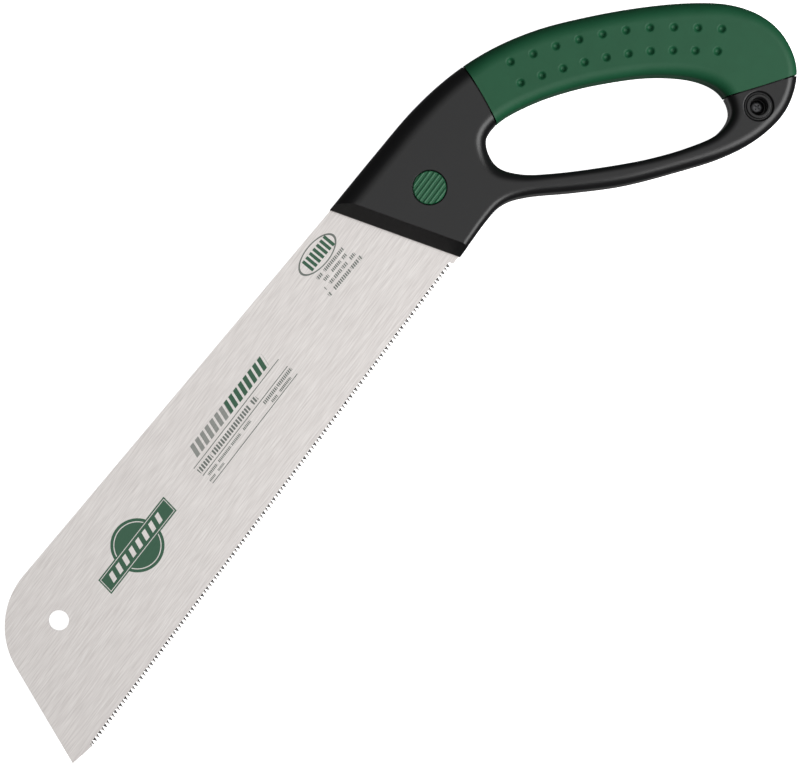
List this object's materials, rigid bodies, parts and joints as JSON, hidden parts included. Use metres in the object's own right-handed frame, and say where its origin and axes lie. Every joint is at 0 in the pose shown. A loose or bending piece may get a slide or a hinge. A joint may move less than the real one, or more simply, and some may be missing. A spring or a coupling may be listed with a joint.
{
  "type": "pull saw",
  "caption": "Japanese-style pull saw with a closed D-shaped soft-grip handle and a thin fine-toothed blade held by a push-button latch.",
  "frame": {"origin": "on the flat back face of the handle, on the release button's axis; z = 0 is the surface that the saw lies on", "axes": "+X along the tooth line from the blade's toe to the handle, +Y across the blade from the teeth to the spine, +Z through the handle's thickness towards the release button"},
  "size_m": [0.4276, 0.1412, 0.025],
  "materials": {
    "black_plastic": "fine satin, moulded",
    "green_rubber": "satin soft overmould",
    "green_plastic": "satin, ribbed",
    "saw_steel": "fine brushed along the blade, satin",
    "spring_steel": "satin",
    "black_steel": "black oxide"
  },
  "bodies": {
    "handle": {"handle_front_shell": "black_plastic", "handle_back_shell": "black_plastic", "grip_front": "green_rubber", "grip_back": "green_rubber", "latch_spring": "spring_steel", "latch_spring_screw_1": "spring_steel", "latch_spring_screw_2": "spring_steel", "shell_screw_1": "black_steel", "shell_screw_2": "black_steel", "shell_screw_3": "black_steel", "tail_screw": "black_steel"},
    "button": {"release_button": "green_plastic", "button_stem": "spring_steel"},
    "blade": {"blade": "saw_steel"}
  },
  "joints": [
    {"name": "button_press", "type": "slide", "parent": "handle", "child": "button", "axis": [0, 0, -1], "range_m": [0, 0.0018], "stiffness_N_per_m": 2500, "springref_m": -0.0012, "deforming": ["latch_spring"]},
    {"name": "blade_slide", "type": "slide", "parent": "handle", "child": "blade", "axis": [-1, 0, 0], "range_m": [0, 0.04]}
  ]
}
